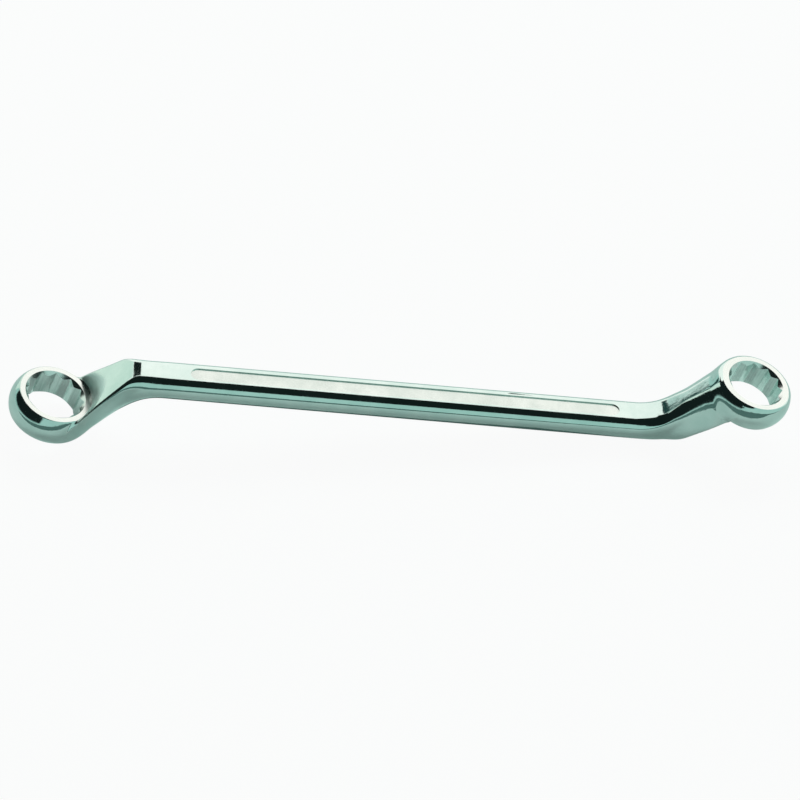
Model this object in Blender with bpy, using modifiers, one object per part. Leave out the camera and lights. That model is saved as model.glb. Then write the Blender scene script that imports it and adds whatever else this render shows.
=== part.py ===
"""Double-ended ring spanner, 17 mm and 16 mm, drop forged in one piece.

The model is built in the shank's own frame (X along the shank, Z up through its
flats), then laid on the ground plane the way the spanner rests: on the edge of
the 17 mm ring and on the heel of the neck that climbs to the 16 mm ring.
"""
import math

import bmesh
import bpy
from mathutils import Matrix, Vector

mm = 0.001

# shank
shank_width = 12.0 * mm
shank_thickness = 8.15 * mm
shank_shoulder = 2.7 * mm

# where the rings sit, measured along the shank and square to it
ring_reach = 111.3 * mm
large_offset = 15.8 * mm
small_offset = 17.1 * mm
ring_tilt = math.radians(12.7)

# 17 mm ring, with its wall measured at the bore's flats
large_flats = 17.0 * mm
large_wall = 5.3 * mm
large_height = 10.15 * mm

# 16 mm ring
small_flats = 16.0 * mm
small_wall = 5.2 * mm
small_height = 9.95 * mm

# ring edges; the crowned side is widest a little below the middle
ring_crown = 1.5 * mm
crown_drop = 0.5 * mm
face_edge = 0.3 * mm
face_inset = 0.3 * mm
back_edge = 0.8 * mm
bore_points = 12
bore_chamfer = 0.25 * mm
throat_share = 0.4

# necks
neck_angle = math.radians(46.9)
large_neck_thickness = 9.5 * mm
small_neck_thickness = 10.15 * mm
large_facet_reach = 7.4 * mm
small_facet_reach = 5.54 * mm
neck_outer_radius = 18.3 * mm
neck_inner_radius = 14.0 * mm
neck_flare = 19.5 * mm
facet_shoulder = 0.8 * mm
belly_shoulder = 4.0 * mm
shoulder_run = 5.0 * mm
root_inset = 5.8 * mm
root_skin = 0.6 * mm
root_margin = 0.1 * mm
spot_face_margin = 0.15 * mm
spot_face_sink = 0.4 * mm

# recessed name panels, left bare
low_panel_margin = 11.6 * mm
high_panel_margin = 9.6 * mm
panel_width = 5.0 * mm
panel_depth = 0.4 * mm

# how far the cutters run past what they cut
overrun = 1.0 * mm

neck_spans = 22
shank_spans = 3
arc_steps = 3
turn_steps = 48
edge_steps = 3
crown_steps = 4


def ring_side(end, level):
    """Radius of the ring's crowned side at a height above its middle plane."""
    half = end.height / 2
    level = min(max(level, -half), half)
    return end.radius - ring_crown * ((level + crown_drop) / half) ** 2


class End:
    """One end of the spanner, described as if it were the low, left one."""

    def __init__(self, flats, wall, height, offset, neck_thickness, facet_reach):
        self.flats = flats
        self.radius = flats / 2 + wall
        self.height = height
        self.face_radius = ring_side(self, height / 2) - face_inset
        self.offset = offset
        self.neck_thickness = neck_thickness
        # the facet meets the ring's face at this reach from the bore's axis
        x = facet_reach * math.cos(ring_tilt) + height / 2 * math.sin(ring_tilt) - ring_reach
        z = height / 2 * math.cos(ring_tilt) - facet_reach * math.sin(ring_tilt) - offset
        self.neck_corner = (z - shank_thickness / 2) / math.tan(neck_angle) - x
        self.bend = self.neck_corner - neck_outer_radius * math.tan(neck_angle / 2)


large_end = End(
    large_flats, large_wall, large_height, large_offset, large_neck_thickness, large_facet_reach
)
small_end = End(
    small_flats, small_wall, small_height, small_offset, small_neck_thickness, small_facet_reach
)


def clear_scene():
    for item in list(bpy.data.objects):
        bpy.data.objects.remove(item, do_unlink=True)


def new_collection(name):
    group = bpy.data.collections.new(name)
    bpy.context.scene.collection.children.link(group)
    return group


def steel():
    finish = bpy.data.materials.new("chrome_plated_steel")
    finish.use_nodes = True
    shader = finish.node_tree.nodes["Principled BSDF"]
    shader.inputs["Base Color"].default_value = (0.66, 0.74, 0.72, 1.0)
    shader.inputs["Metallic"].default_value = 1.0
    shader.inputs["Roughness"].default_value = 0.18
    return finish


def rounded_corner(first, second, radius, angle):
    """Signed distance to two half planes that meet at an angle, joined by a true fillet."""
    cosine = math.cos(angle)
    u = first + radius
    v = second + radius
    if u > v * cosine and v > u * cosine:
        return math.sqrt(u * u + v * v - 2 * u * v * cosine) / math.sin(angle) - radius
    return max(first, second)


def above_facet(end, x, z):
    """Distance above the neck's flat facet, for a left end."""
    return (z - shank_thickness / 2) * math.cos(neck_angle) - (x + end.neck_corner) * math.sin(neck_angle)


def above_top(end, x, z):
    """Distance above the shank's upper flat and the neck's facet, for a left end."""
    return rounded_corner(z - shank_thickness / 2, above_facet(end, x, z), neck_outer_radius, neck_angle)


def below_bottom(end, x, z):
    """Distance below the shank's lower flat and the neck's belly, for a left end."""
    above_belly = above_facet(end, x, z) + end.neck_thickness
    return -rounded_corner(z + shank_thickness / 2, above_belly, neck_inner_radius, neck_angle)


def root_of(function, low, high):
    """The place between low and high where a rising function crosses zero."""
    for _ in range(40):
        middle = (low + high) / 2
        if function(middle) > 0:
            high = middle
        else:
            low = middle
    return (low + high) / 2


def along_ring(end, x, z):
    """Distance from the ring's axis, in the plane of the ring."""
    return (x + ring_reach) * math.cos(ring_tilt) - (z + end.offset) * math.sin(ring_tilt)


def above_ring(end, x, z):
    """Distance above the middle plane of the ring."""
    return (x + ring_reach) * math.sin(ring_tilt) + (z + end.offset) * math.cos(ring_tilt)


def half_width(end, x, z):
    """Half the neck's width: the shank's, flared by a fillet until it touches the ring."""
    ring = ring_side(end, above_ring(end, x, z)) - root_margin
    strip = shank_width / 2
    reach = along_ring(end, x, z)
    start = math.sqrt((ring + neck_flare) ** 2 - (strip + neck_flare) ** 2)
    touch = start * ring / (ring + neck_flare)
    if reach >= start:
        return strip
    if reach >= touch:
        return strip + neck_flare - math.sqrt(neck_flare ** 2 - (start - reach) ** 2)
    return math.sqrt(ring ** 2 - reach ** 2)


def ring_floor(end, x):
    """Height of the plane just inside the ring's back face, for a left end."""
    depth = end.height / 2 - root_skin
    return -end.offset - (depth + (x + ring_reach) * math.sin(ring_tilt)) / math.cos(ring_tilt)


def blend(value, start, run):
    share = min(max((value - start) / run, 0.0), 1.0)
    return share * share * (3 - 2 * share)


def section(end, x):
    """Half outline of the left end at one station, from the top middle down to the bottom middle."""
    reach = ring_reach + end.radius
    top = root_of(lambda z: above_top(end, x, z), -reach, reach)
    bottom = -root_of(lambda z: below_bottom(end, x, -z), -reach, reach)
    bottom = max(bottom, ring_floor(end, x))
    along = blend(x, -end.neck_corner - shoulder_run / 2, shoulder_run)
    upper = facet_shoulder + (shank_shoulder - facet_shoulder) * along
    lower = belly_shoulder + (shank_shoulder - belly_shoulder) * along
    upper_width = half_width(end, x, top - upper)
    lower_width = half_width(end, x, bottom + lower)
    middle = (top - upper + bottom + lower) / 2
    points = [(0.0, top)]
    for i in range(arc_steps + 1):
        turn = math.pi / 2 * i / arc_steps
        points.append((upper_width - upper + upper * math.sin(turn), top - upper + upper * math.cos(turn)))
    points.append((half_width(end, x, middle), middle))
    for i in range(arc_steps + 1):
        turn = math.pi / 2 * i / arc_steps
        points.append((lower_width - lower + lower * math.cos(turn), bottom + lower - lower * math.sin(turn)))
    points.append((0.0, bottom))
    return points


def stations(end):
    """Places of the sections, from inside the ring to the middle of the shank."""
    start = -ring_reach + root_inset
    finish = -end.bend
    places = [start + (finish - start) * i / neck_spans for i in range(neck_spans + 1)]
    places += [finish * (1 - i / (shank_spans + 1)) for i in range(1, shank_spans + 1)]
    return places


def body(group, finish):
    """Shank and necks as one loft of half sections, mirrored.

    The right end is the left one turned half round.
    """
    rows = []
    for x in stations(large_end):
        rows.append([(x, y, z) for y, z in section(large_end, x)])
    for x in reversed(stations(small_end)):
        outline = reversed(section(small_end, x))
        rows.append([(-x, y, -z) for y, z in outline])
    shape = bmesh.new()
    grid = [[shape.verts.new(point) for point in row] for row in rows]
    for before, after in zip(grid, grid[1:]):
        for i in range(len(before) - 1):
            shape.faces.new((before[i], after[i], after[i + 1], before[i + 1]))
    shape.faces.new(grid[0])
    shape.faces.new(grid[-1][::-1])
    mesh = bpy.data.meshes.new("spanner_body")
    shape.to_mesh(mesh)
    shape.free()
    item = bpy.data.objects.new("spanner_body", mesh)
    item.data.materials.append(finish)
    group.objects.link(item)
    mirror = item.modifiers.new("far_half", "MIRROR")
    mirror.use_axis = (False, True, False)
    mirror.merge_threshold = overrun / 1000
    return item


def ring_frame(end, side):
    """Matrix of a ring's frame: its axis along Z, its face up. Side is -1 for left, +1 for right."""
    place = Matrix.Translation((-ring_reach, 0, -end.offset)) @ Matrix.Rotation(ring_tilt, 4, "Y")
    if side > 0:
        place = Matrix.Rotation(math.pi, 4, "Y") @ place
    return place


def hide_cutter(item):
    item.hide_render = True
    item.display_type = "WIRE"


def turned(name, profile, group, place, step_share):
    """A closed body turned about Z from a profile that runs down its outer side.

    The share of a step that it starts from keeps its facets off those of its neighbours.
    """
    mesh = bpy.data.meshes.new(name)
    points = [(radius, 0.0, height) for radius, height in profile]
    mesh.from_pydata(points, [(i, i + 1) for i in range(len(points) - 1)], [])
    item = bpy.data.objects.new(name, mesh)
    group.objects.link(item)
    screw = item.modifiers.new("turn", "SCREW")
    screw.axis = "Z"
    screw.steps = turn_steps
    screw.render_steps = turn_steps
    screw.use_merge_vertices = True
    screw.merge_threshold = overrun / 1000
    item.matrix_world = place @ Matrix.Rotation(step_share * 2 * math.pi / turn_steps, 4, "Z")
    return item


def ring_blank(name, end, group, place):
    """The ring before boring: flat faces, rounded edges and a crowned side."""
    half = end.height / 2
    side_top = half - face_edge
    side_bottom = half - back_edge
    profile = [(0.0, half), (end.face_radius, half)]
    for i in range(crown_steps + 1):
        height = side_top - (side_top + side_bottom) * i / crown_steps
        profile.append((ring_side(end, height), height))
    lowest = profile[-1][0]
    for i in range(1, edge_steps + 1):
        turn = math.pi / 2 * i / edge_steps
        profile.append((lowest - back_edge * (1 - math.cos(turn)), -side_bottom - back_edge * math.sin(turn)))
    profile.append((0.0, -half))
    return turned(name, profile, group, place, 0.0)


def spot_face(name, end, group, place):
    """Cutter that clears the neck off the ring's face and leaves a wall round it."""
    top = end.height / 2 + end.offset + shank_thickness + overrun
    floor = end.height / 2 - spot_face_sink
    radius = end.face_radius + spot_face_margin
    profile = [(0.0, top), (radius, top), (radius, floor), (0.0, floor)]
    return turned(name, profile, group, place, 0.5)


def corner_radius(end):
    return end.flats / 2 / math.cos(math.pi / 6)


def bore_chamfers(name, end, group, place):
    """Cutter for the lead-in chamfers at both mouths, an hourglass on the bore's axis."""
    half = end.height / 2
    corner = corner_radius(end) + bore_chamfer
    throat = end.flats * throat_share
    wide = corner + overrun
    drop = wide - throat
    profile = [
        (0.0, half + overrun),
        (wide, half + overrun),
        (throat, half + overrun - drop),
        (throat, -half - overrun + drop),
        (wide, -half - overrun),
        (0.0, -half - overrun),
    ]
    return turned(name, profile, group, place, 0.25)


def twelve_point_bore(name, end, group, place):
    """Cutter with the outline of two hexagons turned 30 degrees to each other."""
    outer = corner_radius(end)
    inner = end.flats / 2 / math.cos(math.pi / bore_points)
    outline = bpy.data.curves.new(name + "_outline", "CURVE")
    outline.dimensions = "2D"
    outline.fill_mode = "BOTH"
    outline.extrude = end.height / 2 + overrun
    spline = outline.splines.new("POLY")
    spline.points.add(2 * bore_points - 1)
    for i in range(2 * bore_points):
        radius = inner if i % 2 else outer
        turn = math.pi / bore_points * i
        spline.points[i].co = (radius * math.cos(turn), radius * math.sin(turn), 0.0, 1.0)
    spline.use_cyclic_u = True
    drawn = bpy.data.objects.new(name + "_outline", outline)
    group.objects.link(drawn)
    drawn.matrix_world = place
    return curve_to_mesh(name, drawn, group)


def curve_to_mesh(name, drawn, group):
    """The extruded curve as a closed mesh object in the same place."""
    bpy.context.view_layer.update()
    graph = bpy.context.evaluated_depsgraph_get()
    mesh = bpy.data.meshes.new_from_object(drawn.evaluated_get(graph))
    shape = bmesh.new()
    shape.from_mesh(mesh)
    bmesh.ops.remove_doubles(shape, verts=shape.verts, dist=overrun / 1000)
    bmesh.ops.recalc_face_normals(shape, faces=shape.faces)
    shape.to_mesh(mesh)
    shape.free()
    item = bpy.data.objects.new(name, mesh)
    item.matrix_world = drawn.matrix_world
    group.objects.link(item)
    bpy.data.objects.remove(drawn, do_unlink=True)
    return item


def panel(name, side, group):
    """Cutter for a shallow recess with round ends, sunk into the upper (1) or lower (-1) flat."""
    start = low_panel_margin - large_end.bend
    finish = small_end.bend - high_panel_margin
    outline = bpy.data.curves.new(name + "_outline", "CURVE")
    outline.dimensions = "2D"
    outline.fill_mode = "BOTH"
    outline.extrude = panel_depth
    radius = panel_width / 2
    straight = (finish - start) / 2 - radius
    centre = side * (start + finish) / 2
    round_steps = 2 * arc_steps
    points = []
    for way in (1, -1):
        for i in range(round_steps + 1):
            turn = -math.pi / 2 + math.pi * i / round_steps
            x = way * (straight + radius * math.cos(turn))
            y = way * radius * math.sin(turn)
            points.append((centre + x, y, 0.0, 1.0))
    spline = outline.splines.new("POLY")
    spline.points.add(len(points) - 1)
    for point, place in zip(spline.points, points):
        point.co = place
    spline.use_cyclic_u = True
    drawn = bpy.data.objects.new(name + "_outline", outline)
    group.objects.link(drawn)
    drawn.location = (0, 0, side * shank_thickness / 2)
    return curve_to_mesh(name, drawn, group)


def apply_boolean(item, other, operation):
    cut = item.modifiers.new(other.name, "BOOLEAN")
    cut.object = other
    cut.operation = operation
    cut.solver = "EXACT"


def resting_tilt(points):
    """Slope of the line that the two ends rest on, found by turning it until it touches both."""
    slope = 0.0
    for _ in range(8):
        left = min((p for p in points if p.x < 0), key=lambda p: p.z - slope * p.x)
        right = min((p for p in points if p.x > 0), key=lambda p: p.z - slope * p.x)
        slope = (right.z - left.z) / (right.x - left.x)
    return math.atan(slope)


def lay_down(item, cutters):
    """Turns the spanner onto its two resting points, with the ground and the middle at the origin."""
    bpy.context.view_layer.update()
    graph = bpy.context.evaluated_depsgraph_get()
    shape = item.evaluated_get(graph)
    points = [v.co.copy() for v in shape.data.vertices]
    turn = Matrix.Rotation(resting_tilt(points), 4, "Y")
    laid = [turn @ p for p in points]
    middle = (min(p.x for p in laid) + max(p.x for p in laid)) / 2
    move = Matrix.Translation(Vector((-middle, 0, -min(p.z for p in laid)))) @ turn
    for other in [item] + cutters:
        other.matrix_world = move @ other.matrix_world


def build():
    clear_scene()
    parts = new_collection("ring_spanner")
    cutters = new_collection("cutters")
    spanner = body(parts, steel())
    tools = []
    for name, end, side in (("large", large_end, -1), ("small", small_end, 1)):
        place = ring_frame(end, side)
        tools.append((spot_face(name + "_spot_face", end, cutters, place), "DIFFERENCE"))
        tools.append((ring_blank(name + "_ring_blank", end, cutters, place), "UNION"))
        tools.append((bore_chamfers(name + "_bore_chamfers", end, cutters, place), "DIFFERENCE"))
        tools.append((twelve_point_bore(name + "_bore", end, cutters, place), "DIFFERENCE"))
    tools.append((panel("upper_panel", 1, cutters), "DIFFERENCE"))
    tools.append((panel("lower_panel", -1, cutters), "DIFFERENCE"))
    for tool, operation in tools:
        apply_boolean(spanner, tool, operation)
        hide_cutter(tool)
    lay_down(spanner, [tool for tool, operation in tools])


build()
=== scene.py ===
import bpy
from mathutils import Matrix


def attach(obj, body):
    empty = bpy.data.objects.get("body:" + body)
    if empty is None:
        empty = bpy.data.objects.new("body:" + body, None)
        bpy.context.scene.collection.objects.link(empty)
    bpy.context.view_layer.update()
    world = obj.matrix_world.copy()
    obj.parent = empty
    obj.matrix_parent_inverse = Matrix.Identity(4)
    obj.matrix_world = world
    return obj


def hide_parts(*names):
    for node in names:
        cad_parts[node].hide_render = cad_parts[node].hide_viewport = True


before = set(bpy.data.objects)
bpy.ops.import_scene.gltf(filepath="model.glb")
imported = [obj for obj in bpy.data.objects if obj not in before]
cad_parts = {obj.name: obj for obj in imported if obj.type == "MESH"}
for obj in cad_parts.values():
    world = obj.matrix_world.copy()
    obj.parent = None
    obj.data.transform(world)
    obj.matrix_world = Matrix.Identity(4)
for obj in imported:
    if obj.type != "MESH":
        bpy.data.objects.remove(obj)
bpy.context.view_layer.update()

import math

import bmesh
import bpy
import numpy as np
from mathutils import Matrix, Vector

# sizes in millimetres, in the shank's own frame; the right end is the left one turned half round
forging = {
    "shankWidth": 12.0,
    "shankThickness": 8.15,
    "shoulder": 2.7,
    "sideStand": 0.1,     # the sides stand out this far at mid depth, and fall back by the swell at the edges
    "sideSwell": 0.6,
    "ringReach": 111.3,
    "ringTilt": 12.7,
    "crown": 1.5,         # how much narrower the ring is at its faces
    "crownDrop": 0.5,     # its widest place lies this far under the middle
    "faceEdge": 0.45,     # forged edge of the spot-faced side
    "backEdge": 1.2,      # forged edge of the side that meets the work
    "stock": 0.12,        # what the facing cuts take off
    "rimClear": 0.04,     # the forged edge ends this far over the back facing cut
    "rimWidth": 1.2,      # and this far inside the ring, over the run
    "rimRun": 1.0,
    "neckAngle": 46.9,
    "neckRoot": 6.0,      # the neck begins this far from the ring's axis
    "innerBend": 14.0,
    "flare": 19.5,        # plan fillet from neck to ring, at the belly
    "facetFlare": 44.0,   # the same along the facet, where the neck fans out
    "flareDepth": 0.7,    # share of the neck's thickness over which one turns into the other
    "facetShoulder": 0.8,
    "bellyShoulder": 4.0,
    "bendShoulder": 3.4,  # the shoulders swell over the bend
    "shoulderRun": 7.0,
    "heelLift": 0.1,      # the neck stops this far over the ring's lower face
    "heelEdge": 1.0,
    "lipStart": -2.0,     # the neck rises round the spot face as a lip, from this height up the ring
    "lipRun": 6.0,
    "lipInset": 0.6,      # how far the lip lies inside the ring
    "hollow": 2.2,        # softness of the edge where the spot face runs into the neck
    "hollowGap": 0.3,     # the forged hollow is this much wider than the spot face
    "hollowDepth": 2.0,   # and its wall ends this far under the ring's upper face
    "weld": 1.4,          # how far the ring and neck run into each other
    "weldInset": 0.8,     # share of it by which the neck's end lies inside the ring
    "panelStart": -67.94,
    "panelEnd": 70.85,
    "panelWidth": 5.0,
    "panelDepth": 0.4,
    "restTilt": 6.0799,   # slope and place of the shank when the spanner lies on the ground
    "restShift": (0.2259, 0.0, 12.7005),
}
ends = {
    "large": {"side": -1, "flats": 17.0, "radius": 13.73, "height": 10.15, "offset": 15.8,
              "neckThickness": 9.5, "corner": 87.477, "rim": 11.69, "outerBend": 9.0},
    "small": {"side": 1, "flats": 16.0, "radius": 13.13, "height": 9.95, "offset": 17.1,
              "neckThickness": 10.15, "corner": 88.388, "rim": 11.083, "outerBend": 18.3},
}
detail = {
    "turnSteps": 192,
    "neckStations": 60,
    "shankStations": 16,
    "firstStation": 6.5,          # from the ring's axis
    "pastBend": 2.0,              # where the wide stations of the shank begin
    "arcSteps": 6,
    "sideSteps": 5,
    "flatSteps": 5,
    "crownSteps": 12,
    "capSteps": 3,
    "faceEdgeSteps": 5,
    "backEdgeSteps": 7,
    "heights": (-40, 20, 6001),   # where a section is looked for: from, to, samples
    "widths": (0, 16, 1601),
    "grain": 0.42,                # size of the even net's squares
    "sliver": 0.02,               # edges shorter than this are dissolved
    "weldGap": 0.0005,            # points closer than this are one
    "normalStep": 0.03,
    "farInside": -5.0,            # stands for a surface that isn't there
}
mm = 0.001
tilt = math.radians(forging["ringTilt"])
neckAngle = math.radians(forging["neckAngle"])


def roundMax(a, b, radius):  # corner of two square faces, rounded
    outside = np.hypot(np.maximum(a + radius, 0), np.maximum(b + radius, 0))
    return np.minimum(-radius, np.maximum(a, b)) + outside


def bendMax(a, b, radius, angle):  # corner of two faces at an angle, with a true fillet
    c = math.cos(angle)
    u, v = a + radius, b + radius
    inside = (u - v * c > 0) & (v - u * c > 0)
    arc = np.sqrt(np.maximum(u * u + v * v - 2 * u * v * c, 0)) / math.sin(angle) - radius
    return np.where(inside, arc, np.maximum(a, b))


def softMin(a, b, soft):
    h = np.clip(0.5 + 0.5 * (b - a) / soft, 0, 1)
    return b + (a - b) * h - soft * h * (1 - h)


def smoothStep(value, start, run):
    s = np.clip((value - start) / run, 0, 1)
    return s * s * (3 - 2 * s)


def ringFrame(end, x, z):  # along the ring's face and up its axis
    dx, dz = x + forging["ringReach"], z + end["offset"]
    return dx * math.cos(tilt) - dz * math.sin(tilt), dx * math.sin(tilt) + dz * math.cos(tilt)


def sideLines(end, x, z):  # above the top line, below the bottom line
    half = forging["shankThickness"] / 2
    facet = (z - half) * math.cos(neckAngle) - (x + end["corner"]) * math.sin(neckAngle)
    top = bendMax(z - half, facet, end["outerBend"], neckAngle)
    bottom = -bendMax(z + half, facet + end["neckThickness"], forging["innerBend"], neckAngle)
    return top, bottom


def depthShare(top, bottom):  # 0 on the top line, 1 on the bottom line
    return np.clip(top / np.minimum(top + bottom, -1e-6), 0, 1)


def shoulders(end, x):  # upper and lower shoulder radius at one station
    shank, facet, belly = forging["shoulder"], forging["facetShoulder"], forging["bellyShoulder"]
    run = forging["shoulderRun"]
    onShank = smoothStep(x, -end["corner"] - run / 2, run)
    swell = np.exp(-((x + end["corner"]) / run) ** 2) * (forging["bendShoulder"] - shank)
    upper = facet + (shank - facet) * onShank + swell
    lower = belly + (shank - belly) * onShank
    return upper, lower


def ringRadius(end, up):  # the crowned side
    half = end["height"] / 2
    return end["radius"] - forging["crown"] * ((np.clip(up, -half, half) + forging["crownDrop"]) / half) ** 2


def planLine(end, along, up, y, depth):  # outside of the neck's outline, seen square to the ring
    lip = smoothStep(up, forging["lipStart"], forging["lipRun"])
    low = ringRadius(end, np.minimum(up, 0)) - forging["weldInset"] * forging["weld"]
    ring = low * (1 - lip) + (end["radius"] - forging["lipInset"]) * lip
    strip = forging["shankWidth"] / 2 + forging["sideStand"] - forging["sideSwell"] * (2 * depth - 1) ** 2
    spread = smoothStep(depth, 0.0, forging["flareDepth"])
    flare = forging["facetFlare"] + (forging["flare"] - forging["facetFlare"]) * spread
    start = np.sqrt((ring + flare) ** 2 - (strip + flare) ** 2)
    far = np.abs(y)
    plan = np.minimum(far - strip, np.hypot(along, y) - ring)
    fillet = flare - np.hypot(along - start, far - strip - flare)
    between = (along < start) & (along * (strip + flare) > far * start) & (far < strip + flare)
    return np.where(between, fillet, plan)


def endSkin(end, x, y, z):
    along, up = ringFrame(end, x, z)
    reach = np.hypot(along, y)
    side = reach - ringRadius(end, up)
    half = end["height"] / 2
    blank = half + forging["stock"]
    upperRing = roundMax(side, up - blank, forging["faceEdge"])
    lowerRing = roundMax(side, -up - blank, forging["backEdge"])
    ring = np.where(up > 0, upperRing, lowerRing)
    top, bottom = sideLines(end, x, z)
    plan = planLine(end, along, up, y, depthShare(top, bottom))
    root = forging["neckRoot"]
    plan = np.where(along < root, np.maximum(plan, root - along), plan)
    upper, lower = shoulders(end, x)
    neck = np.maximum(roundMax(top, plan, upper), roundMax(bottom, plan, lower))
    neck = roundMax(neck, -up - half + forging["heelLift"], forging["heelEdge"])
    hollow = end["rim"] + forging["hollowGap"] - reach
    hollow = np.where(up > half - forging["hollowDepth"], hollow, detail["farInside"])
    neck = -softMin(-neck, -hollow, forging["hollow"])
    rim = smoothStep(reach, end["radius"] - forging["rimWidth"], forging["rimRun"])
    ground = blank - (forging["stock"] + forging["rimClear"]) * rim
    return np.maximum(softMin(ring, neck, forging["weld"]), -up - ground)


def skin(p):  # distance outside the forging, before anything is cut
    x, y, z = p.T
    left = x < 0
    away = np.where(left, x, -x)
    height = np.where(left, z, -z)
    return np.where(left, endSkin(ends["large"], away, y, height), endSkin(ends["small"], away, y, height))


def skinNormal(p):  # gradient of the distance, and the same at unit length
    step = detail["normalStep"]
    g = np.stack([skin(p + step * axis) - skin(p - step * axis) for axis in np.eye(3)], 1) / (2 * step)
    return g, g / np.maximum(np.linalg.norm(g, axis=1, keepdims=True), 1e-9)


def ontoSkin(p, rounds=6, stride=0.4, leastSlope=0.25):
    for _ in range(rounds):
        g = skinNormal(p)[0]
        slope = np.maximum((g * g).sum(1), leastSlope)
        p = p - np.clip(skin(p), -stride, stride)[:, None] * g / slope[:, None]
    return p


def sectionAt(end, x):  # half outline of the neck or shank at one station
    zs = np.linspace(*detail["heights"])
    top, bottom = sideLines(end, np.full_like(zs, x), zs)
    inside = zs[(top < 0) & (bottom < 0)]
    high, low = inside[-1], inside[0]
    heel = end["height"] / 2 - forging["heelLift"] + (x + forging["ringReach"]) * math.sin(tilt)
    ground = -end["offset"] - heel / math.cos(tilt)
    upper, lower = (float(v) for v in shoulders(end, np.array(x)))
    arcSteps, sideSteps, flatSteps = detail["arcSteps"], detail["sideSteps"], detail["flatSteps"]

    def width(z):
        along, up = ringFrame(end, x, z)
        ys = np.linspace(*detail["widths"])
        depth = np.full_like(ys, depthShare(*sideLines(end, np.array([x]), np.array([z])))[0])
        return ys[planLine(end, np.full_like(ys, along), np.full_like(ys, up), ys, depth) < 0][-1]

    wideTop, wideLow = width(high - upper), width(max(low + lower, ground))
    points = [((wideTop - upper) * i / flatSteps, high) for i in range(flatSteps)]
    for i in range(arcSteps + 1):
        a = math.pi / 2 * i / arcSteps
        points.append((wideTop - upper + upper * math.sin(a), high - upper + upper * math.cos(a)))
    for i in range(1, sideSteps):
        z = high - upper + (low + lower - high + upper) * i / sideSteps
        points.append((width(max(z, ground)), z))
    for i in range(arcSteps + 1):
        a = math.pi / 2 * i / arcSteps
        points.append((wideLow - lower + lower * math.cos(a), low + lower - lower * math.sin(a)))
    points += [((wideLow - lower) * (1 - i / flatSteps), low) for i in range(1, flatSteps + 1)]
    return [(y, max(z, ground)) for y, z in points]


def loftHalves():
    rows = []
    for name, flip in (("large", 1), ("small", -1)):
        end = ends[name]
        bend = -end["corner"] + forging["innerBend"] * math.tan(neckAngle / 2) + detail["pastBend"]
        start = -forging["ringReach"] + detail["firstStation"]
        places = list(np.linspace(start, bend, detail["neckStations"]))
        places += list(np.linspace(bend, 0, detail["shankStations"]))[1:-1]
        half = []
        for x in places:
            outline = sectionAt(end, x)
            if flip < 0:
                outline = outline[::-1]
            half.append([(flip * x, y, flip * z) for y, z in outline])
        rows += half if flip > 0 else half[::-1]
    return rows


def meshFrom(name, vertices, faces, material):
    mesh = bpy.data.meshes.new(name)
    mesh.from_pydata([tuple(v) for v in vertices], [], faces)
    mesh.materials.append(material)
    item = bpy.data.objects.new(name, mesh)
    bpy.context.scene.collection.objects.link(item)
    return item


def fixNormals(item):
    work = bmesh.new()
    work.from_mesh(item.data)
    bmesh.ops.remove_doubles(work, verts=work.verts, dist=detail["weldGap"])
    bmesh.ops.recalc_face_normals(work, faces=work.faces)
    work.to_mesh(item.data)
    work.free()


def neckAndShank(material):
    rows = loftHalves()
    count = len(rows[0])
    vertices, faces = [], []
    for row in rows:
        vertices += [(x, -y, z) for x, y, z in row] + [(x, y, z) for x, y, z in row[-2:0:-1]]
    loop = 2 * count - 2
    for r in range(len(rows) - 1):
        for i in range(loop):
            j = (i + 1) % loop
            a, b = r * loop + i, r * loop + j
            faces.append((a, a + loop, b + loop, b))
    faces.append(tuple(range(loop)))
    faces.append(tuple(range((len(rows) - 1) * loop, len(rows) * loop))[::-1])
    item = meshFrom("neckAndShank", vertices, faces, material)
    fixNormals(item)
    return item


def ringPlace(end):
    place = Matrix.Translation((-forging["ringReach"], 0, -end["offset"])) @ Matrix.Rotation(tilt, 4, "Y")
    return place if end["side"] < 0 else Matrix.Rotation(math.pi, 4, "Y") @ place


def turned(name, profile, material, end, phase=0.0):  # turns radii and heights about the ring's axis
    vertices, faces = [], []
    n, steps = len(profile), detail["turnSteps"]
    for s in range(steps):
        a = 2 * math.pi * (s + phase) / steps
        vertices += [(r * math.cos(a), r * math.sin(a), h) for r, h in profile]
    for s in range(steps):
        t = (s + 1) % steps
        for i in range(n - 1):
            faces.append((s * n + i, s * n + i + 1, t * n + i + 1, t * n + i))
    item = meshFrom(name, vertices, faces, material)
    item.data.transform(ringPlace(end))
    fixNormals(item)
    return item


def ringBlank(end, material):
    topEdge, backEdge = forging["faceEdge"], forging["backEdge"]
    half = end["height"] / 2 + forging["stock"]
    caps, faceSteps, backSteps = detail["capSteps"], detail["faceEdgeSteps"], detail["backEdgeSteps"]
    flat = end["rim"] - forging["hollowGap"]
    profile = [(0.0, half)] + [(flat * i / caps, half) for i in range(1, caps + 1)]
    topSide = float(ringRadius(end, np.array(half)))
    for i in range(faceSteps + 1):
        a = math.pi / 2 * i / faceSteps
        profile.append((topSide - topEdge + topEdge * math.sin(a), half - topEdge + topEdge * math.cos(a)))
    for i in range(1, detail["crownSteps"]):
        h = half - topEdge - (2 * half - topEdge - backEdge) * i / detail["crownSteps"]
        profile.append((float(ringRadius(end, np.array(h))), h))
    lowSide = float(ringRadius(end, np.array(backEdge - half)))
    for i in range(backSteps + 1):
        a = math.pi / 2 * i / backSteps
        low = -half + backEdge - backEdge * math.sin(a)
        profile.append((lowSide - backEdge + backEdge * math.cos(a), low))
    profile += [((lowSide - backEdge) * (1 - i / caps), -half) for i in range(1, caps + 1)]
    return turned("ringBlank", profile, material, end)


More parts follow.
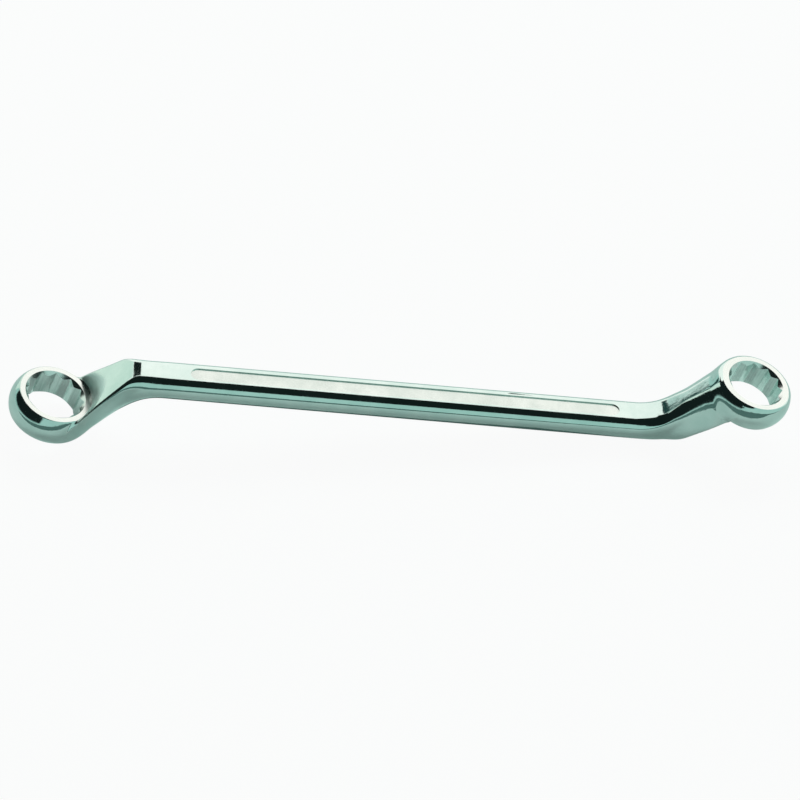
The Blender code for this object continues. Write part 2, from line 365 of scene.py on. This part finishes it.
def applied(item, step):  # a modifier's result as a plain mesh
    graph = bpy.context.evaluated_depsgraph_get()
    result = bpy.data.meshes.new_from_object(item.evaluated_get(graph))
    item.modifiers.remove(step)
    old = item.data
    item.data = result
    bpy.data.meshes.remove(old)


def combine(item, other, operation):
    step = item.modifiers.new("combine", "BOOLEAN")
    step.object = other
    step.operation = operation
    step.solver = "EXACT"
    step.material_mode = "TRANSFER"
    applied(item, step)
    bpy.data.objects.remove(other, do_unlink=True)


def evenSkin(item):  # an even net of points, drawn onto the forging's exact surface
    step = item.modifiers.new("evenSkin", "REMESH")
    step.mode = "VOXEL"
    step.voxel_size = detail["grain"]
    applied(item, step)
    mesh = item.data
    points = np.zeros(len(mesh.vertices) * 3)
    mesh.vertices.foreach_get("co", points)
    points = ontoSkin(points.reshape(-1, 3))
    mesh.vertices.foreach_set("co", points.ravel())
    work = bmesh.new()
    work.from_mesh(mesh)
    bmesh.ops.dissolve_degenerate(work, dist=detail["sliver"], edges=work.edges)
    bmesh.ops.triangulate(work, faces=[face for face in work.faces if len(face.verts) > 4])
    work.to_mesh(mesh)
    work.free()
    return float(np.abs(skin(points)).max())


def group(name, given, made):  # empty shader group with named inputs and outputs
    tree = bpy.data.node_groups.new(name, "ShaderNodeTree")
    for label, kind, value in given:
        socket = tree.interface.new_socket(label, in_out="INPUT", socket_type=kind)
        if value is not None:
            socket.default_value = value
    for label in made:
        tree.interface.new_socket(label, in_out="OUTPUT", socket_type="NodeSocketFloat")
    return tree, tree.nodes.new("NodeGroupInput"), tree.nodes.new("NodeGroupOutput")


def add(tree, kind, **values):  # node with its settings and unlinked inputs
    node = tree.nodes.new(kind)
    for key, value in values.items():
        if key in node.inputs:
            node.inputs[key].default_value = value
        else:
            setattr(node, key, value)
    return node


def feed(tree, socket, value):  # a number as the socket's own value, anything else as a link
    if isinstance(value, (int, float)):
        socket.default_value = value
    elif value is not None:
        tree.links.new(value, socket)


def sums(tree, operation, a, b=None, c=None):
    node = add(tree, "ShaderNodeMath", operation=operation)
    for socket, value in zip(node.inputs, (a, b, c)):
        feed(tree, socket, value)
    return node.outputs[0]


def ranged(tree, value, low, high, toLow, toHigh):
    node = add(tree, "ShaderNodeMapRange", interpolation_type="SMOOTHSTEP")
    for socket, given in zip(node.inputs, (value, low, high, toLow, toHigh)):
        feed(tree, socket, given)
    return node.outputs[0]


def noise(tree, place, scale, layers, roughness):
    node = add(tree, "ShaderNodeTexNoise", Detail=layers, Roughness=roughness)
    tree.links.new(place, node.inputs["Vector"])
    feed(tree, node.inputs["Scale"], scale)
    return node.outputs["Fac"]


def stretched(tree, place, scale):
    node = add(tree, "ShaderNodeMapping", Scale=scale)
    tree.links.new(place, node.inputs["Vector"])
    return node.outputs[0]


# a noise is scale, layers and roughness, without the scale where that is a socket;
# a cut is the noise from and to, and the values there
wearMarks = {
    "wave": (3.0, 0.55),
    "hairStretch": (0.35, 6.0, 6.0),
    "hair": (1.6, 2.0, 0.6),
    "hairCut": (0.60, 0.66, 0.0, 1.0),
    "crossStretch": (5.0, 0.5, 2.0),
    "cross": (1.2, 2.0, 0.6),
    "crossCut": (0.64, 0.69, 0.0, 0.7),
    "scratchDepth": 0.03,
    "smear": (0.16, 5.0, 0.62),
    "smearCut": (0.38, 0.68, 0.0, 1.0),
    "shade": (0.09, 4.0, 0.6),
    "shadeCut": (0.3, 0.7, 0.0, 1.0),
    "rub": (5.0, 0.65),
    "rubCut": (0.36, 0.62, 0.15, 1.0),
    "bumpStrength": 0.6,
    "toolShade": 0.6,             # how much of the shade comes from the tool marks
    "plainShade": 0.5,
    "toolHeight": 0.5,
    "turned": (3.2, 3.0, 0.6),
    "turnedFeed": 26.0,
    "turnedDepth": 0.22,
    "broachStretch": (1.9, 1.9, 0.07),
    "broach": (1.5, 4.0, 0.65),
    "edgeStep": 0.25,             # how far round a point its edge is felt for
    "edgeStart": 0.35,            # bend at which an edge begins, and its run
    "edgeRun": 1.3,
    "satinStart": 0.8,            # satin in the hollow: from the rim outward, and over the upper face
    "satinRun": 2.2,
    "satinDrop": 0.4,
    "satinRise": 0.6,
}


def handlingMarks():  # smears, hairline scratches and the slow waves of a polished forging
    tree, given, made = group("handlingMarks", [
        ("Place", "NodeSocketVector", None),
        ("Wave Scale", "NodeSocketFloat", 0.3),
        ("Waves", "NodeSocketFloat", 0.5),
        ("Scratches", "NodeSocketFloat", 0.3),
        ("Smears", "NodeSocketFloat", 0.5)], ["Height", "Dull", "Shade"])
    place = given.outputs["Place"]
    waves = noise(tree, place, given.outputs["Wave Scale"], *wearMarks["wave"])
    hair = noise(tree, stretched(tree, place, wearMarks["hairStretch"]), *wearMarks["hair"])
    cross = noise(tree, stretched(tree, place, wearMarks["crossStretch"]), *wearMarks["cross"])
    hair, cross = ranged(tree, hair, *wearMarks["hairCut"]), ranged(tree, cross, *wearMarks["crossCut"])
    scratch = sums(tree, "MULTIPLY", sums(tree, "ADD", hair, cross), given.outputs["Scratches"])
    smear = ranged(tree, noise(tree, place, *wearMarks["smear"]), *wearMarks["smearCut"])
    smear = sums(tree, "MULTIPLY", smear, given.outputs["Smears"])
    waves = sums(tree, "MULTIPLY", waves, given.outputs["Waves"])
    height = sums(tree, "SUBTRACT", waves, sums(tree, "MULTIPLY", scratch, wearMarks["scratchDepth"]))
    tree.links.new(height, made.inputs["Height"])
    tree.links.new(sums(tree, "MAXIMUM", scratch, smear), made.inputs["Dull"])
    tree.links.new(noise(tree, place, *wearMarks["shade"]), made.inputs["Shade"])
    return tree


def edgeRub():  # where hands and nuts have worn the edges
    tree, given, made = group("edgeRub", [
        ("Place", "NodeSocketVector", None),
        ("Edge", "NodeSocketFloat", 0.0),
        ("Amount", "NodeSocketFloat", 0.6),
        ("Breakup", "NodeSocketFloat", 0.9)], ["Worn"])
    patches = noise(tree, given.outputs["Place"], given.outputs["Breakup"], *wearMarks["rub"])
    worn = sums(tree, "MULTIPLY", ranged(tree, patches, *wearMarks["rubCut"]), given.outputs["Edge"])
    tree.links.new(sums(tree, "MULTIPLY", worn, given.outputs["Amount"]), made.inputs["Worn"])
    return tree


marks, rub = handlingMarks(), edgeRub()
finishes = {
    "polishedPlate": {
        "deep": (0.575, 0.735, 0.70), "clear": (0.68, 0.815, 0.785), "worn": (0.80, 0.83, 0.80),
        "smooth": 0.055, "dull": 0.20, "waveScale": 0.32, "waves": 0.5, "scratches": 0.35, "smears": 0.5,
        "wear": 0.7, "bump": 0.00009,
        "unpolished": 0.3,   # the wheel can't reach into the hollows, so they are rougher by this
    },
    "machinedRim": {
        "deep": (0.68, 0.765, 0.74), "clear": (0.78, 0.84, 0.815), "worn": (0.82, 0.84, 0.82),
        "smooth": 0.16, "dull": 0.30, "waveScale": 0.5, "waves": 0.15, "scratches": 0.5, "smears": 0.5,
        "wear": 0.8, "bump": 0.00002,
    },
    "broachedBore": {
        "deep": (0.50, 0.68, 0.64), "clear": (0.80, 0.92, 0.885), "worn": (0.72, 0.76, 0.74),
        "smooth": 0.14, "dull": 0.32, "waveScale": 0.6, "waves": 0.2, "scratches": 0.4, "smears": 0.6,
        "wear": 0.9, "bump": 0.00003,
    },
    "panelFloor": {
        "deep": (0.64, 0.735, 0.70), "clear": (0.76, 0.84, 0.81), "worn": (0.76, 0.80, 0.78),
        "smooth": 0.24, "dull": 0.40, "waveScale": 1.4, "waves": 0.3, "scratches": 0.3, "smears": 0.25,
        "wear": 0.4, "bump": 0.00002,
    },
}


def chrome(name, grain=None):
    look = finishes[name]
    material = bpy.data.materials.new(name)
    material.use_nodes = True
    tree = material.node_tree
    shader = tree.nodes["Principled BSDF"]
    shader.inputs["Metallic"].default_value = 1
    if grain:
        place = add(tree, "ShaderNodeAttribute", attribute_name="ringPlace").outputs["Vector"]
    else:
        place = stretched(tree, add(tree, "ShaderNodeTexCoord").outputs["Object"], (1 / mm, 1 / mm, 1 / mm))
    edge = add(tree, "ShaderNodeAttribute", attribute_name="convexEdge").outputs["Fac"]
    wear = add(tree, "ShaderNodeGroup", node_tree=rub)
    wear.inputs["Amount"].default_value = look["wear"]
    tree.links.new(place, wear.inputs["Place"])
    tree.links.new(edge, wear.inputs["Edge"])
    handled = add(tree, "ShaderNodeGroup", node_tree=marks)
    handled.inputs["Wave Scale"].default_value = look["waveScale"]
    handled.inputs["Waves"].default_value = look["waves"]
    handled.inputs["Scratches"].default_value = look["scratches"]
    handled.inputs["Smears"].default_value = look["smears"]
    tree.links.new(place, handled.inputs["Place"])
    shade, height = handled.outputs["Shade"], handled.outputs["Height"]
    if grain:
        tool = grain(tree, place)
        plain = sums(tree, "MULTIPLY", shade, wearMarks["plainShade"])
        shade = sums(tree, "MULTIPLY_ADD", tool, wearMarks["toolShade"], plain)
        height = sums(tree, "MULTIPLY_ADD", tool, wearMarks["toolHeight"], height)
    base = add(tree, "ShaderNodeMix", data_type="RGBA")
    tree.links.new(ranged(tree, shade, *wearMarks["shadeCut"]), base.inputs["Factor"])
    base.inputs[6].default_value, base.inputs[7].default_value = (*look["deep"], 1), (*look["clear"], 1)
    bright = add(tree, "ShaderNodeMix", data_type="RGBA")
    bright.inputs[7].default_value = (*look["worn"], 1)
    tree.links.new(wear.outputs["Worn"], bright.inputs["Factor"])
    tree.links.new(base.outputs[2], bright.inputs[6])
    tree.links.new(bright.outputs[2], shader.inputs["Base Color"])
    dull = sums(tree, "MAXIMUM", handled.outputs["Dull"], wear.outputs["Worn"])
    rough = ranged(tree, dull, 0.0, 1.0, look["smooth"], look["dull"])
    if "unpolished" in look:
        hollow = add(tree, "ShaderNodeAttribute", attribute_name="hollowWall").outputs["Fac"]
        rough = sums(tree, "MULTIPLY_ADD", hollow, look["unpolished"], rough)
    tree.links.new(rough, shader.inputs["Roughness"])
    bump = add(tree, "ShaderNodeBump", Strength=wearMarks["bumpStrength"], Distance=look["bump"])
    tree.links.new(height, bump.inputs["Height"])
    tree.links.new(bump.outputs["Normal"], shader.inputs["Normal"])
    return material


def turnedMarks(tree, place):  # fine circles from the facing tool
    split = add(tree, "ShaderNodeSeparateXYZ")
    tree.links.new(place, split.inputs[0])
    across = sums(tree, "MULTIPLY", split.outputs["Y"], split.outputs["Y"])
    reach = sums(tree, "SQRT", sums(tree, "MULTIPLY_ADD", split.outputs["X"], split.outputs["X"], across))
    feed = sums(tree, "SINE", sums(tree, "MULTIPLY", reach, wearMarks["turnedFeed"]))
    uneven = add(tree, "ShaderNodeCombineXYZ")
    tree.links.new(reach, uneven.inputs["X"])
    uneven = noise(tree, uneven.outputs[0], *wearMarks["turned"])
    return sums(tree, "MULTIPLY_ADD", feed, wearMarks["turnedDepth"], uneven)


def broachMarks(tree, place):  # streaks along the bore
    return noise(tree, stretched(tree, place, wearMarks["broachStretch"]), *wearMarks["broach"])


plate = chrome("polishedPlate")
rimFace = chrome("machinedRim", turnedMarks)
boreWall = chrome("broachedBore", broachMarks)
panelFloor = chrome("panelFloor")

cuts = {
    "points": 12,
    "chamfer": 0.25,
    "cornerRound": 0.25,
    "cornerSteps": 3,
    "mergeGap": 0.001,      # the same for the broach
    "overrun": 3.0,         # how far the broach passes the ring's faces
    "clear": 1.0,           # how far the other cutters reach outside the metal
    "throat": 0.4,          # narrow end of the chamfer cutter, as a share of the flats
    "spotHeight": 1.6,      # the spot-face cutter is a little conical, and wider than the rim by
    "spotFoot": 0.35,
    "spotTop": 0.2,
    "backOver": 0.2,        # the back facing cut is this much wider than the ring
    "hollowSink": 0.3,      # the hollow starts this far under the ring's upper face
    "hollowHeight": 28.0,
    "hollowSteps": 14,
    "panelArcSteps": 12,
    "phase": 0.5,           # share of a step by which the cutters' facets are turned from the ring's,
    "chamferPhase": 0.25,   # so that no two edges fall together
}


def boreTree():  # twelve-point broach with named sizes
    tree = bpy.data.node_groups.new("twelvePointBore", "GeometryNodeTree")
    face, links = tree.interface, tree.links
    face.new_socket("Geometry", in_out="INPUT", socket_type="NodeSocketGeometry")
    sockets = {}
    for key, label, kind in (("points", "Points", "Int"), ("inner", "Valley Radius", "Float"),
                             ("outer", "Corner Radius", "Float"), ("fillet", "Corner Round", "Float"),
                             ("length", "Length", "Float"), ("material", "Material", "Material")):
        sockets[key] = face.new_socket(label, in_out="INPUT", socket_type="NodeSocket" + kind).identifier
    face.new_socket("Geometry", in_out="OUTPUT", socket_type="NodeSocketGeometry")
    given = add(tree, "NodeGroupInput").outputs
    star = add(tree, "GeometryNodeCurveStar")
    links.new(given["Points"], star.inputs["Points"])
    links.new(given["Valley Radius"], star.inputs["Inner Radius"])
    links.new(given["Corner Radius"], star.inputs["Outer Radius"])
    fillet = add(tree, "GeometryNodeFilletCurve", mode="POLY", Count=cuts["cornerSteps"])
    links.new(star.outputs["Curve"], fillet.inputs["Curve"])
    links.new(given["Corner Round"], fillet.inputs["Radius"])
    fill = add(tree, "GeometryNodeFillCurve", mode="NGONS")
    links.new(fillet.outputs["Curve"], fill.inputs["Curve"])
    extrude = add(tree, "GeometryNodeExtrudeMesh", Individual=False)
    links.new(fill.outputs["Mesh"], extrude.inputs["Mesh"])
    links.new(given["Length"], extrude.inputs["Offset Scale"])
    flip = add(tree, "GeometryNodeFlipFaces")
    links.new(fill.outputs["Mesh"], flip.inputs["Mesh"])
    join = add(tree, "GeometryNodeJoinGeometry")
    links.new(extrude.outputs["Mesh"], join.inputs["Geometry"])
    links.new(flip.outputs["Mesh"], join.inputs["Geometry"])
    merge = add(tree, "GeometryNodeMergeByDistance", Distance=cuts["mergeGap"])
    links.new(join.outputs["Geometry"], merge.inputs["Geometry"])
    down = add(tree, "ShaderNodeCombineXYZ")  # by half its length, so that it is centred on the ring
    links.new(sums(tree, "MULTIPLY", given["Length"], -0.5), down.inputs["Z"])
    move = add(tree, "GeometryNodeTransform")
    links.new(merge.outputs["Geometry"], move.inputs["Geometry"])
    links.new(down.outputs["Vector"], move.inputs["Translation"])
    paint = add(tree, "GeometryNodeSetMaterial")
    links.new(move.outputs["Geometry"], paint.inputs["Geometry"])
    links.new(given["Material"], paint.inputs["Material"])
    links.new(paint.outputs["Geometry"], add(tree, "NodeGroupOutput").inputs["Geometry"])
    return tree, sockets


boreNodes, boreSockets = boreTree()


def cornerReach(end):  # half the width across a hexagon's corners
    return end["flats"] / 2 / math.cos(math.pi / 6)


def boreCutter(end):
    seed = meshFrom("boreCutter", [(0, 0, 0)], [], boreWall)
    step = seed.modifiers.new("bore", "NODES")
    step.node_group = boreNodes
    values = {
        "points": cuts["points"],
        "inner": end["flats"] / 2 / math.cos(math.pi / cuts["points"]),
        "outer": cornerReach(end),
        "fillet": cuts["cornerRound"],
        "length": end["height"] + 2 * cuts["overrun"],
        "material": boreWall,
    }
    for key, value in values.items():
        step[boreSockets[key]] = value
    bpy.context.view_layer.update()
    applied(seed, step)
    seed.data.transform(ringPlace(end))
    fixNormals(seed)
    return seed


def chamferCutter(end):  # an hourglass that cuts both mouths of the bore
    half, clear = end["height"] / 2, cuts["clear"]
    wide = cornerReach(end) + cuts["chamfer"] + clear
    throat = end["flats"] * cuts["throat"]
    drop = wide - throat
    profile = [(0, half + clear), (wide, half + clear), (throat, half + clear - drop),
               (throat, drop - half - clear), (wide, -half - clear), (0, -half - clear)]
    return turned("chamferCutter", profile, rimFace, end, cuts["chamferPhase"])


def panelCutter(side):  # shallow recess with round ends in the upper or lower flat
    start, finish, radius = forging["panelStart"], forging["panelEnd"], forging["panelWidth"] / 2
    outline = []
    for way, place in ((1, finish - radius), (-1, start + radius)):
        for i in range(cuts["panelArcSteps"] + 1):
            turn = -math.pi / 2 + math.pi * i / cuts["panelArcSteps"]
            outline.append((place + way * radius * math.cos(turn), way * radius * math.sin(turn)))
    half = forging["shankThickness"] / 2
    vertices = []
    for z in (side * (half - forging["panelDepth"]), side * (half + cuts["clear"])):
        vertices += [(x * side, y, z) for x, y in outline]
    n = len(outline)
    faces = [tuple(range(n)), tuple(range(n, 2 * n))]
    faces += [(i, (i + 1) % n, n + (i + 1) % n, n + i) for i in range(n)]
    item = meshFrom("panelCutter", vertices, faces, panelFloor)
    fixNormals(item)
    return item


def spotFaceCutter(end):
    face, radius = end["height"] / 2, end["rim"]
    high = face + cuts["spotHeight"]
    profile = [(0, high), (radius + cuts["spotTop"], high), (radius + cuts["spotFoot"], face), (0, face)]
    return turned("spotFaceCutter", profile, rimFace, end, cuts["phase"])


def backFaceCutter(end):
    face, radius = -end["height"] / 2, end["radius"] + cuts["backOver"]
    profile = [(0, face), (radius, face), (radius, face - cuts["clear"]), (0, face - cuts["clear"])]
    return turned("backFaceCutter", profile, rimFace, end, cuts["phase"])


def hollowCutter(end):  # the forged hollow over the ring, before the spot face is machined
    half = end["height"] / 2
    low, high = half - cuts["hollowSink"], half + cuts["hollowHeight"]
    radius, steps = end["rim"] + forging["hollowGap"], cuts["hollowSteps"]
    profile = [(0, high)] + [(radius, high - (high - low) * i / steps) for i in range(steps + 1)] + [(0, low)]
    return turned("hollowCutter", profile, plate, end, cuts["phase"])


def finishNormals(item):  # true normals of the forged skin, flat ones on what was cut
    mesh = item.data
    mesh.polygons.foreach_set("use_smooth", [True] * len(mesh.polygons))
    points = np.zeros(len(mesh.vertices) * 3)
    mesh.vertices.foreach_get("co", points)
    loopVertex = np.zeros(len(mesh.loops), int)
    mesh.loops.foreach_get("vertex_index", loopVertex)
    normals = skinNormal(points.reshape(-1, 3))[1][loopVertex]
    forged = [material.name == plate.name for material in mesh.materials]
    for face in mesh.polygons:
        if not forged[face.material_index]:
            normals[list(face.loop_indices)] = np.array(face.normal)
    mesh.normals_split_custom_set([tuple(normal) for normal in normals])


def ringCoordinates(item):  # each point's place in its own ring, its edge's sharpness, and the hollow's wall
    mesh = item.data
    points = np.zeros(len(mesh.vertices) * 3)
    mesh.vertices.foreach_get("co", points)
    points = points.reshape(-1, 3)
    side = np.where(points[:, 0] < 0, 1, -1)
    place, satin = np.zeros_like(points), np.zeros(len(points))
    for end in ends.values():
        own = (side > 0) == (end["side"] < 0)
        along, up = ringFrame(end, side * points[:, 0], side * points[:, 2])
        place[own] = np.stack([along, points[:, 1], up], 1)[own]
        reach = np.hypot(along, points[:, 1])
        deep = 1 - smoothStep(reach, end["rim"] + wearMarks["satinStart"], wearMarks["satinRun"])
        over = smoothStep(up, end["height"] / 2 - wearMarks["satinDrop"], wearMarks["satinRise"])
        satin[own] = (deep * over)[own]
    step = wearMarks["edgeStep"]
    around = sum(skin(points + step * way * axis) for axis in np.eye(3) for way in (1, -1))
    bend = (around - 6 * skin(points)) / step ** 2
    edge = smoothStep(bend, wearMarks["edgeStart"], wearMarks["edgeRun"])
    mesh.attributes.new("ringPlace", "FLOAT_VECTOR", "POINT").data.foreach_set("vector", place.ravel())
    mesh.attributes.new("convexEdge", "FLOAT", "POINT").data.foreach_set("value", edge)
    mesh.attributes.new("hollowWall", "FLOAT", "POINT").data.foreach_set("value", satin)


spanner = neckAndShank(plate)
print("forging: neck and shank,", len(spanner.data.vertices), "points")
for end in ends.values():
    combine(spanner, hollowCutter(end), "DIFFERENCE")
    combine(spanner, ringBlank(end, plate), "UNION")
print("forging: joined,", len(spanner.data.vertices), "points")
farthest = evenSkin(spanner)
print("forging: skin,", len(spanner.data.vertices), "points, at most", round(farthest, 3), "mm off")
for cutter in (spotFaceCutter, backFaceCutter, chamferCutter, boreCutter):
    for end in list(ends.values())[::-1]:
        combine(spanner, cutter(end), "DIFFERENCE")
for side in (1, -1):
    combine(spanner, panelCutter(side), "DIFFERENCE")
print("forging: cut,", len(spanner.data.polygons), "faces")
finishNormals(spanner)
ringCoordinates(spanner)
spanner.name = "spannerForging"
lay = Matrix.Rotation(math.radians(forging["restTilt"]), 4, "Y")
lay = Matrix.Translation(Vector(forging["restShift"])) @ lay
spanner.data.transform(Matrix.Scale(mm, 4) @ lay)
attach(spanner, "root")
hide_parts("spanner_body")

studio = {
    "floorHalf": 3.0,
    "floorDrop": 0.0002,      # the floor lies this far under the spanner
    "floorColour": (0.60, 0.82, 0.77),
    "floorWhite": 0.94,       # share of the floor that is plain white to the eye
    "floorInMetal": 0.17,     # the same share as the metal shows it
    "frontColour": (0.45, 0.67, 0.615),
    "backColour": (1.24, 1.18, 1.13),
    "darkColour": (0.008, 0.014, 0.013),
    "backZone": (14, 25, 51, 62),      # turn, height, inner and outer half angle in degrees
    "overheadZone": (-120, 80, 39, 43),
    "sideZone": (-110, 30, 50, 55),
    "horizon": (1, 7),                 # heights between which the side zone begins
    "lampPlace": (0.1, 0.9, 0.9),
    "lampSize": (1.0, 0.5),
    "lampPower": 6.0,
}


def floorMaterial():
    material = bpy.data.materials.new("paleFloor")
    material.use_nodes = True
    tree = material.node_tree
    tree.nodes.clear()
    diffuse = add(tree, "ShaderNodeBsdfDiffuse", Color=(*studio["floorColour"], 1))
    white = add(tree, "ShaderNodeEmission", Strength=1.0)
    seen = add(tree, "ShaderNodeLightPath").outputs
    share = sums(tree, "MULTIPLY", seen["Is Camera Ray"], studio["floorWhite"])
    share = sums(tree, "MULTIPLY_ADD", seen["Is Glossy Ray"], studio["floorInMetal"], share)
    mix = add(tree, "ShaderNodeMixShader")
    tree.links.new(share, mix.inputs["Fac"])
    tree.links.new(diffuse.outputs[0], mix.inputs[1])
    tree.links.new(white.outputs[0], mix.inputs[2])
    tree.links.new(mix.outputs[0], add(tree, "ShaderNodeOutputMaterial").inputs["Surface"])
    return material


wide, deep = studio["floorHalf"], -studio["floorDrop"]
floorCorners = [(-wide, -wide, deep), (wide, -wide, deep), (wide, wide, deep), (-wide, wide, deep)]
studioFloor = meshFrom("studioFloor", floorCorners, [(0, 1, 2, 3)], floorMaterial())


def studioRoom():  # a pale room: bright behind the spanner, dark over the viewer's left shoulder
    world = bpy.data.worlds.new("studioRoom")
    bpy.context.scene.world = world
    world.use_nodes = True
    tree = world.node_tree
    toward = add(tree, "ShaderNodeTexCoord").outputs["Generated"]

    def zone(turn, height, inner, outer):  # 1 inside a cone of directions, 0 outside it
        a, h = math.radians(turn), math.radians(height)
        near = add(tree, "ShaderNodeVectorMath", operation="DOT_PRODUCT")
        near.inputs[1].default_value = (math.sin(a) * math.cos(h), math.cos(a) * math.cos(h), math.sin(h))
        tree.links.new(toward, near.inputs[0])
        low, high = math.cos(math.radians(outer)), math.cos(math.radians(inner))
        return ranged(tree, near.outputs["Value"], low, high, 0.0, 1.0)

    split = add(tree, "ShaderNodeSeparateXYZ")
    tree.links.new(toward, split.inputs[0])
    low, high = (math.sin(math.radians(angle)) for angle in studio["horizon"])
    aboveHorizon = ranged(tree, split.outputs["Z"], low, high, 0.0, 1.0)
    side = sums(tree, "MULTIPLY", zone(*studio["sideZone"]), aboveHorizon)
    zones = ((zone(*studio["backZone"]), "backColour"), (zone(*studio["overheadZone"]), "darkColour"),
             (side, "darkColour"))
    colour = None
    for share, tone in zones:
        mix = add(tree, "ShaderNodeMix", data_type="RGBA")
        mix.inputs[6].default_value = (*studio["frontColour"], 1)
        mix.inputs[7].default_value = (*studio[tone], 1)
        feed(tree, mix.inputs[6], colour)
        tree.links.new(share, mix.inputs["Factor"])
        colour = mix.outputs[2]
    tree.links.new(colour, tree.nodes["Background"].inputs["Color"])


studioRoom()


# small reflectors seen only in the metal, two of them painted shade on the floor: place, outline in metres
# across and up, colour
cards = {
    "paleCard": {
        "place": (-0.185, 0.112, 0.060), "aim": (-0.095, 0.0, 0.012), "colour": (0.82, 0.94, 0.84),
        "outline": [(-0.05, -0.075), (0.05, -0.075), (0.05, 0.075), (-0.05, 0.075)],
    },
    "bendCard": {
        "place": (-0.115, 0.177, 0.189), "aim": (-0.088, 0.0, 0.017), "colour": (0.008, 0.014, 0.013),
        "outline": [(-0.048, -0.03), (0.046, -0.03), (0.046, 0.03), (-0.048, 0.03)],
    },
    # painted shadow: a dark sheet on the floor under the spanner, seen only in the metal
    "paintedShadowCard": {
        "place": (0.0, 0.0, -0.0001), "aim": (0.0, -0.000001, 1.0), "colour": (0.07, 0.115, 0.105),
        "outline": [(-0.090, 0.0), (-0.076, -0.010), (0.045, -0.011), (0.088, -0.002),
                    (0.088, 0.002), (0.045, 0.011), (-0.076, 0.010)],
    },
    # painted shade: a dark sheet over the floor in front of the spanner, seen only in the metal
    "paintedFloorShadeCard": {
        "place": (0.0, -0.45, -0.0001), "aim": (0.0, -0.450001, 1.0), "colour": (0.10, 0.175, 0.16),
        "outline": [(-0.7, -0.4), (0.7, -0.4), (0.7, 0.4), (-0.7, 0.4)],
    },
    "neckCard": {
        "place": (0.045, 0.042, 0.028), "aim": (0.087, 0.0, 0.021), "colour": (0.022, 0.06, 0.056),
        "outline": [(-0.005, -0.007), (-0.0022, -0.007), (0.0087, 0.008), (-0.005, 0.008)],
    },
}


def card(name):
    look = cards[name]
    material = bpy.data.materials.new(name)
    material.use_nodes = True
    tree = material.node_tree
    tree.nodes.clear()
    glow = add(tree, "ShaderNodeEmission", Color=(*look["colour"], 1))
    tree.links.new(glow.outputs[0], add(tree, "ShaderNodeOutputMaterial").inputs["Surface"])
    place = Vector(look["place"])
    facing = (Vector(look["aim"]) - place).normalized()
    across = Vector((0, 0, 1)).cross(facing).normalized()
    up = facing.cross(across)
    corners = [place + across * a + up * b for a, b in look["outline"]]
    item = meshFrom(name, corners, [tuple(range(len(corners)))], material)
    item.visible_camera = item.visible_diffuse = item.visible_shadow = item.visible_transmission = False


for name in cards:
    card(name)
print("stage: floor, room and", len(cards), "reflectors")


def lamp(name):  # soft light from behind, itself seen by nothing
    light = bpy.data.lights.new(name, "AREA")
    light.shape = "RECTANGLE"
    light.size, light.size_y = studio["lampSize"]
    light.energy = studio["lampPower"]
    item = bpy.data.objects.new(name, light)
    bpy.context.scene.collection.objects.link(item)
    item.location = studio["lampPlace"]
    item.rotation_euler = (-Vector(studio["lampPlace"])).to_track_quat("-Z", "Y").to_euler()
    item.visible_camera = item.visible_glossy = False


lamp("backLight")

# camera, at the photograph's angle
view = {
    "elevation": 46.2,
    "distance": 1.6088,
    "lens": 225.0,
    "sensor": 36.0,
    "photoRoll": 7.06,     # the shank's slope in the photograph, part of which is the way it lies
    "aimHeight": 0.09,
    "farClip": 50,
}
cameraData = bpy.data.cameras.new("camera")
cameraData.lens = view["lens"]
cameraData.sensor_width = view["sensor"]
cameraData.clip_end = view["farClip"]
camera = bpy.data.objects.new("camera", cameraData)
bpy.context.scene.collection.objects.link(camera)
e = math.radians(view["elevation"])
right, up = Vector((1, 0, 0)), Vector((0, math.sin(e), math.cos(e)))
back = Vector((0, -math.cos(e), math.sin(e)))
base = Matrix((right, up, back)).transposed().to_4x4()
base.translation = Vector((0, 0, view["aimHeight"] * mm)) + back * view["distance"]
shift = Vector(forging["restShift"]) * mm
roll = math.radians(view["photoRoll"] - forging["restTilt"])
turn = Matrix.Translation(shift) @ Matrix.Rotation(-roll, 4, "Y")
camera.matrix_world = turn @ base
bpy.context.scene.camera = camera
bpy.context.scene.view_settings.view_transform = "Standard"
